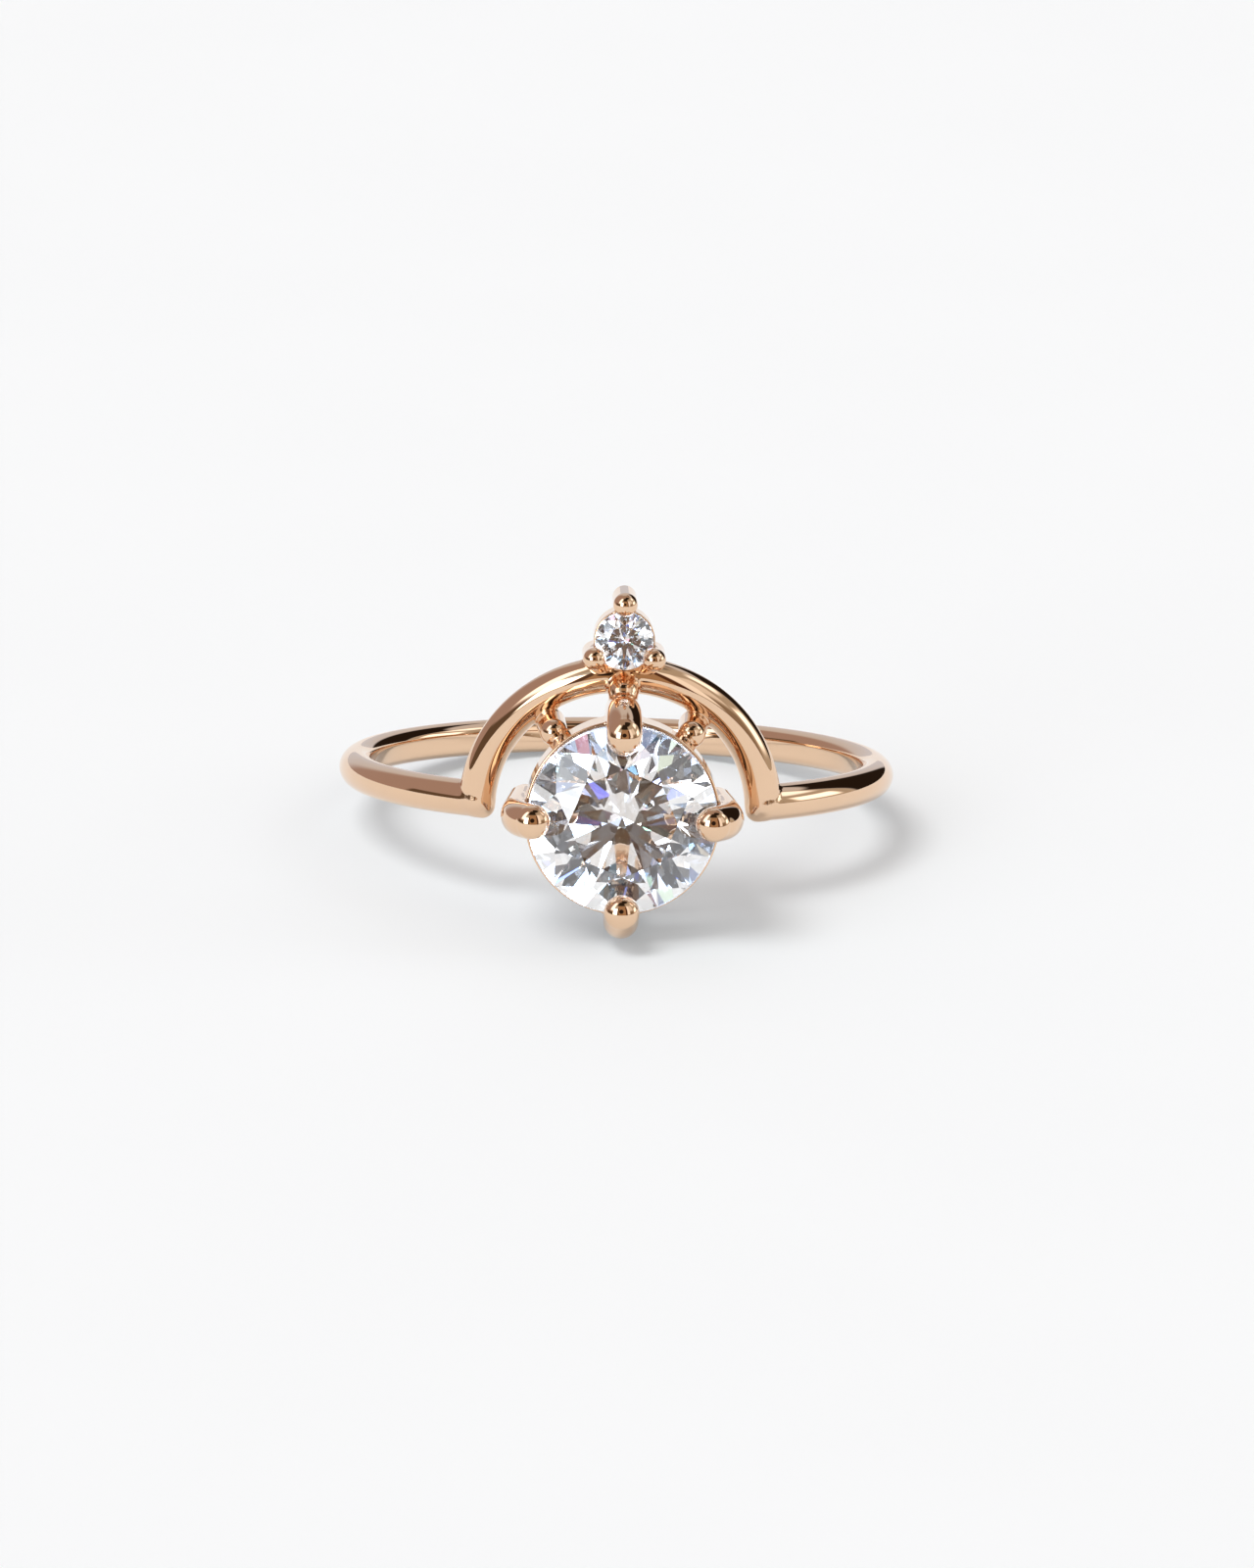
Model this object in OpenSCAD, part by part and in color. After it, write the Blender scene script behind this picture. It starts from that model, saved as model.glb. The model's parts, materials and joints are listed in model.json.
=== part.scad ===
/* [Shank] */
// Inner diameter of the finger hole, US ring size 7
finger_d = 17.3; // [14:0.1:22]
// Diameter of the shank's round wire
shank_d = 1.25; // [0.9:0.05:2.5]
// How deep the finger hole shaves the wire's inner side
inner_flat = 0.105; // [0.02:0.005:0.3]

/* [Arch over the centre stone] */
// Radius of the arch's centre line, seen from the front
arch_r = 4.95; // [4:0.05:8]
// Diameter of the arch's round wire
arch_d = 1.28; // [0.9:0.02:2.5]
// Height of the arch's centre above the shank's mid plane
arch_z = -0.34; // [-1:0.01:1]
// Diameter of the ball where a foot of the arch turns into the shank
foot_ball_d = 1.3; // [1:0.01:2.6]
// How far the foot's outer corner is squared out of its ball
foot_corner = 0.22; // [0.05:0.01:0.35]
// Number of flats round the arch's wire
arch_sides = 20; // [12:2:32]
// Number of steps along the arch
arch_steps = 44; // [20:2:80]

/* [Centre stone] */
// Diameter of the centre stone, about one carat
stone_d = 6.5; // [4:0.1:9]
// Distance from the finger's axis to the stone's girdle plane
stone_y = 12.5; // [11:0.05:16]
// Height of the stone's axis above the shank's mid plane
stone_z = 0.05; // [-1:0.01:1]

/* [Accent stone] */
// Diameter of the accent stone
accent_d = 2.0; // [1:0.1:3]
// Distance from the finger's axis to the accent stone's girdle plane
accent_y = 10.6; // [10:0.05:13]
// Height of the accent stone's axis above the shank's mid plane
accent_z = 5.93; // [4:0.01:8]

/* [Cut of both stones, parts of the stone's diameter] */
// Table size
table_part = 0.57; // [0.5:0.01:0.65]
// Crown angle in degrees
crown_deg = 34.5; // [30:0.5:38]
// Pavilion angle in degrees
pavilion_deg = 40.75; // [39:0.25:43]
// Girdle thickness at its thick places
girdle_part = 0.026; // [0.01:0.001:0.05]
// Length of the star facets
star_part = 0.5; // [0.4:0.05:0.65]
// Length of the lower half facets
lower_part = 0.77; // [0.65:0.01:0.85]

/* [Gallery and claws of the centre stone] */
// Outer diameter of the gallery tube
gallery_d = 6.68; // [6:0.02:10]
// Inner diameter of the gallery tube
gallery_bore = 6.1; // [5:0.02:9]
// Distance of the gallery's front rim behind the girdle plane
gallery_front = 0.3; // [0.1:0.05:1]
// Distance of the gallery's back rim behind the girdle plane
gallery_back = 1.9; // [1:0.05:4]
// Diameter of a claw's wire
claw_d = 1.2; // [0.6:0.01:2]
// Distance of a claw's wire from the stone's axis, at the girdle
claw_r = 3.54; // [3:0.01:5]
// Distance of a claw's back end from the stone's axis
claw_end_r = 3.3; // [2.5:0.01:5]
// Distance of a claw's tip ball from the stone's axis
tip_r = 3.08; // [2:0.01:4]
// Height of a claw's tip ball in front of the girdle plane
tip_h = 0.87; // [0.4:0.01:1.5]
// Diameter of a claw's tip ball
tip_d = 1.18; // [0.6:0.01:2]
// How far the top claw's tip reaches further in
top_tip_more = 0.3; // [0:0.01:0.6]
// Radius of the base ring's centre line
base_r = 2.75; // [1.5:0.05:4]
// Diameter of the base ring's wire
base_d = 0.76; // [0.4:0.02:1.5]

/* [Joints between arch and gallery] */
// Diameter of the two struts
strut_d = 1.03; // [0.5:0.01:1.5]
// Diameter of the bead at the top
bead_d = 0.97; // [0.5:0.01:1.5]
// Where the struts' balls lie along the finger-to-stone direction
strut_y = -10.2; // [-12:0.1:-9]
// Where the bead lies along the same direction
bead_y = -10.0; // [-12:0.1:-9]
// How far the struts' balls lie inside the arch's centre line
strut_in = 1.04; // [0.7:0.01:1.5]
// How far the struts' back ends lie inside it
strut_end_in = 0.95; // [0.5:0.01:1.2]
// How far the bead lies inside it
bead_in = 0.52; // [0.3:0.01:1]
// Angle of the struts above the horizontal, from the arch's centre
strut_deg = 53; // [30:1:70]

/* [Accent head] */
// Outer diameter of the accent stone's collet
collet_d = 2.1; // [1.5:0.02:4]
// Diameter of an accent claw
small_claw_d = 0.78; // [0.4:0.01:1.2]
// Distance of the top accent claw from the stone's axis
small_top_r = 1.32; // [0.8:0.01:2]
// Distance of the two lower accent claws from the stone's axis
small_side_r = 1.19; // [0.8:0.01:2]
// Height of an accent claw's tip ball in front of the girdle plane
small_tip_h = 0.4; // [0.1:0.01:1]

/* [Fit] */
// Gap between each stone and its seat
seat_gap = 0.03; // [0.01:0.005:0.1]

/* [Hidden] */
$fn = 96;
finger_r = finger_d / 2;
wire_r = shank_d / 2;
ring_r = finger_r + wire_r - inner_flat;    // shank's centre line
rod_r = arch_d / 2;
ball_r = foot_ball_d / 2;
claw_w = claw_d / 2;
tip_w = tip_d / 2;
sag = asin(-arch_z / arch_r);               // arch angle at the shank's mid plane
foot_x = arch_r * cos(sag);
foot_deg = asin(foot_x / ring_r);           // half of the shank's opening
past_foot = 0.12;                           // wires run this far into the foot's ball
claw_end_y = finger_r + claw_w + 0.01;      // depth of the top and bottom claws' ends
side_end_y = sqrt(pow(finger_r + claw_w - 0.02, 2) - pow(claw_end_r, 2));
base_y = finger_r + base_d / 2 + 0.05;

// The ring leans on the back of the shank and on the bottom claw's back end.
contact_z = claw_end_r - stone_z;
lean = ring_r + claw_end_y;
tilt = atan2(contact_z, lean) - asin((wire_r - claw_w) / norm([lean, contact_z]));
floor_z = ring_r * sin(tilt) + wire_r;
front_y = (stone_y + tip_h) * cos(tilt) + (tip_r - stone_z) * sin(tilt) + tip_w;
back_y = ring_r * cos(tilt) + wire_r;

// Turns the ring from its own frame (finger along z, stone towards -y) to how it rests.
module at_rest() {
    translate([0, (front_y - back_y) / 2, floor_z]) rotate([-tilt, 0, 0]) children();
}

// Puts a shape drawn along +z (out of the stone's face) at a stone's girdle plane.
module at_head(y, z) {
    translate([0, -y, z]) rotate([90, 0, 0]) children();
}

// A round rod from p to q, with a ball at p.
module rod(p, q, r, ball) {
    v = q - p;
    translate(p) {
        rotate([0, atan2(norm([v.x, v.y]), v.z), atan2(v.y, v.x)])
            cylinder(r = r, h = norm(v));
        if (ball > 0) sphere(r = ball);
    }
}

module shank() {
    more = asin(past_foot / ring_r);
    start = foot_deg - more;
    rotate([0, 0, -90 + start])
        rotate_extrude(angle = 360 - 2 * start) translate([ring_r, 0]) circle(r = wire_r);
    // Each foot: a ball, and a smaller one that squares the elbow's outer corner
    for (s = [-1, 1]) translate([s * foot_x, -ring_r * cos(foot_deg), 0]) {
        sphere(r = ball_r);
        translate(foot_corner * [-s * cos(foot_deg), -sin(foot_deg), -1]) sphere(r = ball_r - foot_corner);
    }
}

// Arch: a round wire on the finger's curve, with its inner side kept off the finger.
function arch_point(a) = let (x = arch_r * cos(a)) [x, -sqrt(ring_r * ring_r - x * x), arch_z + arch_r * sin(a)];
function unit(v) = v / norm(v);
function arch_dir(a) = unit(arch_point(a + 0.01) - arch_point(a - 0.01));
function outside(p, r) = let (d = norm([p.x, p.y])) d < r ? [p.x * r / d, p.y * r / d, p.z] : p;
function arch_section(c, dir) = let (n = unit([c.x, c.y, 0]), b = cross(dir, n))
    [for (i = [0 : arch_sides - 1]) let (f = 360 * (i + 0.5) / arch_sides)
        outside(c + rod_r * (cos(f) * n + sin(f) * b), finger_r + 0.005)];

module arch() {
    angles = [for (k = [0 : arch_steps]) sag + (180 - 2 * sag) * k / arch_steps];
    down = [0, 0, -past_foot];
    rings = concat([arch_section(arch_point(sag) + down, [0, 0, 1])],
        [for (a = angles) arch_section(arch_point(a), arch_dir(a))],
        [arch_section(arch_point(180 - sag) + down, [0, 0, -1])]);
    last = len(rings) - 1;
    n = arch_sides;
    points = [for (s = rings) for (p = s) p];
    sides = [for (k = [0 : last - 1]) for (i = [0 : n - 1]) let (a = k * n + i, b = k * n + (i + 1) % n)
        each [[a, b + n, b], [a, a + n, b + n]]];
    caps = [[for (i = [0 : n - 1]) i], [for (i = [n - 1 : -1 : 0]) last * n + i]];
    polyhedron(points = points, faces = concat(sides, caps), convexity = 6);
}

module gallery() {
    rotate_extrude() {
        w = (gallery_d - gallery_bore) / 2;
        h = gallery_back - gallery_front;
        c = 0.06;
        translate([gallery_bore / 2, -gallery_back]) {
            translate([0, c]) square([w, h - 2 * c]);
            translate([c, 0]) square([w - 2 * c, h]);
            for (x = [c, w - c], y = [c, h - c]) translate([x, y]) circle(r = c);
        }
    }
}

// One claw in the stone's frame: along x from the stone's axis, z out of the face.
module claw(end, more) {
    bend = [claw_r, 0, -0.3];
    tip = [tip_r, 0, tip_h];
    rod([claw_end_r, 0, -end], bend, claw_w - 0.004, claw_w);
    rod(bend, tip, tip_w - 0.004, claw_w);
    translate(tip) sphere(r = tip_w);
    if (more > 0) translate([tip_r - more, 0, tip_h + 0.05]) sphere(r = tip_w - 0.1);
}

module head() {
    at_head(stone_y, stone_z) {
        gallery();
        rotate([0, 0, 90]) claw(stone_y - claw_end_y, top_tip_more);
        rotate([0, 0, -90]) claw(stone_y - claw_end_y, 0);
        claw(stone_y - side_end_y, 0);
        rotate([0, 0, 180]) claw(stone_y - side_end_y, 0);
        translate([0, 0, base_y - stone_y])
            rotate_extrude() translate([base_r, 0]) circle(r = base_d / 2);
    }
}

module joints() {
    // Struts: a ball at the gallery's back rim, and a rod back into the arch's inner side
    front_r = arch_r - strut_in;
    back_r = arch_r - strut_end_in;
    for (s = [-1, 1])
        rod([s * front_r * cos(strut_deg), strut_y, arch_z + front_r * sin(strut_deg)],
            [s * back_r * cos(strut_deg), -ring_r + 0.42, arch_z + back_r * sin(strut_deg)],
            strut_d / 2 - 0.004, strut_d / 2);
    // Bead: on the top claw, in front of the arch's inner side
    bead_z = arch_z + arch_r - bead_in;
    rod([0, bead_y, bead_z], [0, -ring_r, bead_z + 0.12], bead_d / 2 - 0.004, bead_d / 2);
}

module accent_claw(r, end) {
    tip = [r, 0, small_tip_h];
    rod(tip, [r, 0, -end], small_claw_d / 2 - 0.004, small_claw_d / 2);
}

module accent_head() {
    at_head(accent_y, accent_z) {
        back = accent_y - ring_r;
        rotate_extrude() translate([0.45, -back]) square([collet_d / 2 - 0.45, back - 0.12]);
        rotate([0, 0, 90]) accent_claw(small_top_r, back);
        for (a = [210, 330]) rotate([0, 0, a]) accent_claw(small_side_r, back);
    }
}

// Lathe-shaped cutter that is one gap larger than a stone of radius r.
module seat(r) {
    g = girdle_part * r;
    e = seat_gap;
    top = g + r * (1 - table_part) * tan(crown_deg);
    deep = g + r * tan(pavilion_deg);
    rotate_extrude() polygon([[0, -deep - e * 1.4], [r + e, -g - e * 0.4], [r + e, g + e * 0.4],
        [r * table_part + e, top + e], [0, top + e]]);
}

module ring_metal() {
    color("#e0a48a") difference() {
        union() {
            difference() {
                union() { shank(); head(); joints(); accent_head(); }
                cylinder(r = finger_r, h = 30, center = true);
            }
            arch();
        }
        at_head(stone_y, stone_z) seat(stone_d / 2);
        at_head(accent_y, accent_z) seat(accent_d / 2);
    }
}

// A round brilliant of radius r as one closed solid: 57 facets and a girdle, cut steps a half facet.
module brilliant(r, cut) {
    n = 16 * cut;                           // points round the girdle
    g = girdle_part * r;
    rt = r * table_part;
    tc = tan(crown_deg);
    tp = tan(pavilion_deg);
    top = g + (r - rt) * tc;
    rs = rt * cos(22.5) + star_part * (r - rt * cos(22.5));
    hs = top - (rs * cos(22.5) - rt) * tc;
    rp = r * (1 - lower_part);
    hp = -g - (r - rp * cos(22.5)) * tp;
    // Height of the half facet's plane where it meets the round girdle, off the facet's middle by a
    function dip(a, r_in, h_in) = (h_in - g) * (cos(a) - cos(11.25)) * r / (r_in * cos(11.25) - r * cos(11.25));
    function off(i) = abs((i % cut) / cut - 0.5) * 22.5;
    up = [for (i = [0 : n - 1]) let (a = 360 * i / n) [r * cos(a), r * sin(a), g + dip(off(i), rs, hs)]];
    lo = [for (i = [0 : n - 1]) let (a = 360 * i / n) [r * cos(a), r * sin(a), -g - dip(off(i), rp, -hp)]];
    table = [for (k = [0 : 7]) [rt * cos(45 * k), rt * sin(45 * k), top]];
    star = [for (k = [0 : 7]) [rs * cos(45 * k + 22.5), rs * sin(45 * k + 22.5), hs]];
    low = [for (k = [0 : 7]) [rp * cos(45 * k + 22.5), rp * sin(45 * k + 22.5), hp]];
    culet = [[0, 0, -g - r * tp]];
    T = 2 * n; S = T + 8; L = S + 8; C = L + 8;
    upper = [for (k = [0 : 7], h = [0, 1]) concat([S + k], [for (j = [cut : -1 : 0]) (2 * cut * k + cut * h + j) % n])];
    lower = [for (k = [0 : 7], h = [0, 1]) concat([L + k], [for (j = [0 : cut]) n + (2 * cut * k + cut * h + j) % n])];
    crown = concat([[for (k = [7 : -1 : 0]) T + k]],
        [for (k = [0 : 7]) [T + k, T + (k + 1) % 8, S + k]],
        [for (k = [0 : 7]) [T + k, S + k, 2 * cut * k, S + (k + 7) % 8]]);
    mains = [for (k = [0 : 7]) [C, L + (k + 7) % 8, n + 2 * cut * k, L + k]];
    girdle = [for (i = [0 : n - 1]) let (j = (i + 1) % n) each [[i, j, n + j], [i, n + j, n + i]]];
    polyhedron(points = concat(up, lo, table, star, low, culet),
        faces = concat(crown, upper, lower, mains, girdle), convexity = 4);
}

module centre_stone() {
    color("#e8eef5") at_head(stone_y, stone_z) brilliant(stone_d / 2, 5);
}

module accent_stone() {
    color("#e8eef5") at_head(accent_y, accent_z) brilliant(accent_d / 2, 3);
}

at_rest() ring_metal();
at_rest() centre_stone();
at_rest() accent_stone();
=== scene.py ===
# %% [markdown]
# # A diamond ring in rose gold
# The ring is a thin round band, an arch of the same wire that stands up at the front, a round brilliant
# in four claws under the arch, and a small brilliant in three claws on top of it.
#
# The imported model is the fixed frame: it says where every piece is, in metres. This script keeps its two
# cut stones, and makes the soldered metal again with finer curves, soft solder joints and the smooth
# normals of a polished surface. Polished gold and cut stones only show what stands round them, so the
# studio gets as much care as the ring.

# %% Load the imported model
import json
import math
from collections import namedtuple

import bmesh
import bpy
import numpy as np
from mathutils import Matrix, Vector


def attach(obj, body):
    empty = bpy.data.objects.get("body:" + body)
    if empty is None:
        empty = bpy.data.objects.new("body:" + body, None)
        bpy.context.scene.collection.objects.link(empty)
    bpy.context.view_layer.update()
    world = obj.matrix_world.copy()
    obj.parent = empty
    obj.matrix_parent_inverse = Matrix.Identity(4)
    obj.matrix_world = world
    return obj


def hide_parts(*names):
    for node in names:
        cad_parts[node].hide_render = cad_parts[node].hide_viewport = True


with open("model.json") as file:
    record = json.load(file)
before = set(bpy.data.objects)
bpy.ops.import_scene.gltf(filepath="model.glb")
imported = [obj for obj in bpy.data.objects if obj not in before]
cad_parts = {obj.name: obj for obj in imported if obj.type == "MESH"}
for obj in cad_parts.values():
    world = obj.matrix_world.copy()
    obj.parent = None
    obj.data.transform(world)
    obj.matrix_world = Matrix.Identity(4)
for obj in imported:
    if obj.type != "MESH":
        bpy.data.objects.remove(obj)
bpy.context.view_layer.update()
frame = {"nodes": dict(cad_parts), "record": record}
nodes = frame["nodes"]
print("nodes in the frame:", sorted(nodes))

# %% [markdown]
# ## The ring's own frame
# The ring lies on the back of its band and on its lowest claw, so it leans. It is far easier to make in
# its own frame: millimetres, the finger along z, the stones towards -y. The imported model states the
# finger hole as a mount, and its place and axis give the one matrix that leans the finished ring.

# %% From the ring's own millimetres to how it rests
MM = 0.001
finger_hole = frame["record"]["mounts"][0]
lean = math.atan2(finger_hole["axis"][1], finger_hole["axis"][2])
ring_to_rest = (Matrix.Translation(finger_hole["pos_m"]) @ Matrix.Rotation(-lean, 4, "X")
                @ Matrix.Scale(MM, 4))
ring_turn = ring_to_rest.to_3x3().normalized()
print("the ring leans back by", round(math.degrees(lean), 2), "degrees")

# %% [markdown]
# ## Camera
# The photograph looks at the stones from a little above and from far away: the band's two ends are
# nearly the same size. The angles and the scale were fitted to the ring in the photograph, in the ring's
# own frame. A long lens at a third of a metre gives the same flat perspective.

# %% Place the camera
PHOTO_H = 1600
photo_middle = (640, 800)
ring_centre_px = (629.0, 785.2)
px_per_mm = 28.85
camera_mm = 330.0
above, aside, roll = (math.radians(a) for a in (8.1, 1.2, 1.0))
SENSOR = 24

ahead = Vector((math.cos(above) * math.sin(aside), math.cos(above) * math.cos(aside), -math.sin(above)))
level = Vector((math.cos(aside), -math.sin(aside), 0))
upright = level.cross(ahead)
right = math.cos(roll) * level + math.sin(roll) * upright
up = math.cos(roll) * upright - math.sin(roll) * level
eye = (-camera_mm * ahead + right * (photo_middle[0] - ring_centre_px[0]) / px_per_mm
       - up * (photo_middle[1] - ring_centre_px[1]) / px_per_mm)

camera = bpy.data.objects.new("camera", bpy.data.cameras.new("camera"))
bpy.context.scene.collection.objects.link(camera)
camera_turn = ring_turn @ Matrix((right, up, -ahead)).transposed()
camera.matrix_world = Matrix.Translation(ring_to_rest @ eye) @ camera_turn.to_4x4()
camera.data.sensor_fit = "VERTICAL"
camera.data.sensor_height = SENSOR
camera.data.lens = SENSOR * camera_mm * px_per_mm / PHOTO_H
camera.data.clip_start = 0.01
camera.data.clip_end = 20
bpy.context.scene.camera = camera
print("lens", round(camera.data.lens, 1), "mm, camera at", [round(c, 4) for c in camera.location])

# %% [markdown]
# ## Shader maths as Python
# Node trees are hard to read as lists of links. Here a Term stands for one socket, and Python's
# operators add the nodes: 1 - mask * 0.5 is two Math nodes. As soon as a colour or a vector takes part,
# Vector Math is used, because a Math node would turn it grey. A Board is a node tree with one method
# that adds any other node.


# %% A node tree and its sockets
class Board:
    """A node tree with one method that adds a node: settings first, then values or links."""

    def __init__(self, tree):
        self.tree = tree
        tree.nodes.clear()

    def node(self, kind, settings=None, sockets=None, out=0):
        made = self.tree.nodes.new("ShaderNode" + kind)
        for name, value in (settings or {}).items():
            setattr(made, name, value)
        for name, value in (sockets or {}).items():
            if isinstance(value, Term):
                self.tree.links.new(value.socket, made.inputs[name])
            else:
                made.inputs[name].default_value = value
        if isinstance(out, tuple):
            return [Term(self, made.outputs[o]) for o in out]
        return Term(self, made.outputs[out])


class Term:
    """One output socket that takes part in Python expressions."""

    def __init__(self, board, socket):
        self.board = board
        self.socket = socket

    def maths(self, operation, *values, out=0):
        many = any(isinstance(v, tuple) or isinstance(v, Term) and v.socket.type != "VALUE" for v in values)
        if many:
            values = [(v,) * 3 if isinstance(v, (int, float)) else v for v in values]
        kind = "VectorMath" if many else "Math"
        return self.board.node(kind, {"operation": operation}, dict(enumerate(values)), out)

    def __add__(self, other):
        return self.maths("ADD", self, other)

    def __sub__(self, other):
        return self.maths("SUBTRACT", self, other)

    def __rsub__(self, other):
        return self.maths("SUBTRACT", other, self)

    def __mul__(self, other):
        return self.maths("MULTIPLY", self, other)

    __radd__ = __add__
    __rmul__ = __mul__

    def smooth(self, start, end):
        """A soft step from 0 at start to 1 at end; start may be the larger."""
        low, high = min(start, end), max(start, end)
        rising = float(start < end)
        numbers = (low, high, 1 - rising, rising)
        settings = {"interpolation_type": "SMOOTHSTEP"}
        if self.socket.type == "VALUE":
            return self.board.node("MapRange", settings, dict(enumerate((self, *numbers))))
        settings["data_type"] = "FLOAT_VECTOR"
        sockets = {6: self, **{7 + i: (v,) * 3 for i, v in enumerate(numbers)}}
        return self.board.node("MapRange", settings, sockets, 1)

    def blend(self, a, b):
        """a where this mask is 0, b where it is 1; a vector mask has its own share of each channel."""
        one = self.socket.type == "VALUE"
        settings = {"data_type": "VECTOR", "factor_mode": "UNIFORM" if one else "NON_UNIFORM"}
        return self.board.node("Mix", settings, {0 if one else 1: self, 4: a, 5: b}, 1)


print("shader helpers ready")

# %% [markdown]
# ## The studio
# Every highlight on the gold is the mirror image of something in the studio, so the picture's bright
# and dark patches tell where its cards stood: a pale wall behind, a taupe drape at the left, a large
# white panel at the front left, smaller ones at the right, a black flag at the back right, and the dark
# of the camera in the middle, which is the dot that each claw shows. An environment picture could hold
# them, but each card is better named and painted on the sky as a rectangle between two azimuths and two
# heights, with a soft edge. The cards are painted in the order of the table, so a later one covers an
# earlier one.
#
# A diamond bends red and blue by different angles, and that is its fire. Three panes of glass added
# together would waste most of their samples, so a ray that comes out of a stone looks at the studio
# along three directions instead, one for each colour. The cards that suit the gold also leave the stones
# warmer and flatter than in the photograph, so the same rays see a paler, cooler studio with more
# contrast, which is darker round the camera and so draws the dark arrows. Both are tricks for this
# picture and not optics, and a stone that is exported takes neither with it.

# %% Directions in the studio
studio_world = bpy.data.worlds.new("studio")
bpy.context.scene.world = studio_world
studio_world.use_nodes = True
studio = Board(studio_world.node_tree)
DEGREES = 180 / math.pi
FIRE = 2.6

toward = studio.node("TexCoord", out="Generated")
to_x, to_y, to_z = studio.node("SeparateXYZ", sockets={"Vector": toward}, out=(0, 1, 2))
from_stone, to_camera = studio.node("LightPath", out=("Is Transmission Ray", "Is Camera Ray"))
fire = studio.node("CombineXYZ", sockets={0: from_stone * FIRE, 1: 0.0, 2: from_stone * -FIRE})
azimuth = to_x.maths("ARCTAN2", to_x, 0 - to_y) * DEGREES + fire
height = to_z.maths("ARCSINE", to_z) * DEGREES + fire
print("azimuth 0 is towards the camera's side, and grows to the right")

# %% Cards round the ring
Card = namedtuple("Card", "name left right low high soft colour")
CARDS = (
    Card("drape", -152, -50, -9, 99, 8, (0.42, 0.32, 0.30)),
    Card("front_wall", -50, 118, -9, 99, 5, (0.50, 0.45, 0.38)),
    Card("black_flag", 118, 163, -9, 40, 2, (0.020, 0.013, 0.009)),
    Card("flag_top", 118, 163, 55, 99, 4, (0.20, 0.12, 0.08)),
    Card("roof", -180, 181, 64, 99, 6, (0.42, 0.33, 0.28)),
    Card("low_left", -98, -44, -9, 13, 2, (0.13, 0.09, 0.06)),
    Card("left_panel", -72, -45, 20, 64, 5, (2.0, 2.1, 2.2)),
    Card("left_panel_foot", -46, -23, 2, 31, 2.5, (5.0, 5.2, 5.4)),
    Card("left_shade", -42, -20, 30, 41, 3, (0.60, 0.64, 0.64)),
    Card("low_front", 40, 72, -9, 14, 3, (0.29, 0.22, 0.16)),
    Card("right_window", 40, 71, 18, 44, 3, (0.90, 0.86, 0.82)),
    Card("right_panel", 81, 108, 4, 20, 3, (2.0, 2.05, 2.1)),
    Card("right_panel_top", 86, 112, 32, 50, 4, (1.6, 1.7, 1.8)),
    Card("brown_front", -22, 30, -9, 48, 1.5, (0.42, 0.27, 0.16)),
    Card("left_gap", -22, -15, -9, 34, 1, (0.12, 0.07, 0.045)),
    Card("right_gap", 22, 30, -9, 42, 1, (0.10, 0.04, 0.02)),
    Card("front_window", 31, 46, 2, 46, 2, (1.15, 1.15, 1.15)),
    Card("roof_gap", -34, 28, 48, 76, 3, (0.030, 0.020, 0.012)),
    Card("roof_gap_right", 0, 100, 62, 88, 4, (0.030, 0.020, 0.012)),
)
PALE_WALL = (0.66, 0.68, 0.74)


def between(angle, low, high, soft):
    return angle.smooth(low - soft, low + soft) * angle.smooth(high + soft, high - soft)


light = PALE_WALL
for card in CARDS:
    across = between(azimuth, card.left, card.right, card.soft)
    upwards = between(height, card.low, card.high, card.soft)
    light = (across * upwards).blend(light, card.colour)
print(len(CARDS), "cards")

# %% The dark of the camera, the stones' own light and the backdrop
CAMERA_R, CAMERA_EDGE, CAMERA_DARK = 0.19, 0.015, (0.030, 0.018, 0.012)
camera_way = camera.location.normalized()
off_camera = toward.maths("DISTANCE", toward, tuple(camera_way), out="Value")
light = off_camera.smooth(CAMERA_R + CAMERA_EDGE, CAMERA_R - CAMERA_EDGE).blend(light, CAMERA_DARK)

FIRE_SHARE, COOL = 0.35, (0.82, 0.99, 1.34)
SHADE_R, SHADE_EDGE, SHADE_LEFT = 0.40, 0.05, 0.35
GREY_WEIGHTS = (0.3, 0.4, 0.3)
BRIGHTEST, CONTRAST, CONTRAST_FLOOR = 1.6, 1.25, 0.25
BACKDROP = (0.93, 0.94, 0.94)
SKY_PIXELS = 512
brightness = light.maths("DOT_PRODUCT", light, GREY_WEIGHTS, out="Value")
unshaded = off_camera.smooth(SHADE_R - SHADE_EDGE, SHADE_R + SHADE_EDGE) * (1 - SHADE_LEFT) + SHADE_LEFT
harder = brightness.maths("MINIMUM", brightness, BRIGHTEST) * CONTRAST + CONTRAST_FLOOR
paler = light * FIRE_SHARE + brightness * (1 - FIRE_SHARE)
light = from_stone.blend(light, paler * COOL * (unshaded * harder))
light = to_camera.blend(light, BACKDROP)
background = studio.node("Background", sockets={"Color": light})
studio.node("OutputWorld", sockets={"Surface": background}, out=())
studio_world.cycles.sampling_method = "MANUAL"
studio_world.cycles.sample_map_resolution = SKY_PIXELS
print("studio nodes", len(studio_world.node_tree.nodes))

# %% [markdown]
# ## The key lamp and the paper
# The shadows in the photograph are soft and fall to the right and back, so the key lamp hangs high at
# the front left. A sun lamp with a wide angle stands for a large softbox, and it costs little to sample.
# It is hidden from mirror images, which the cards alone make.
# The ring lies on a sheet of white paper on a light table, whose glow keeps the shadows pale. The sheet
# ends a short way behind the ring: claws and rim mirror the grey wall beyond it, which keeps their upper
# edges visible against the white.

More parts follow.
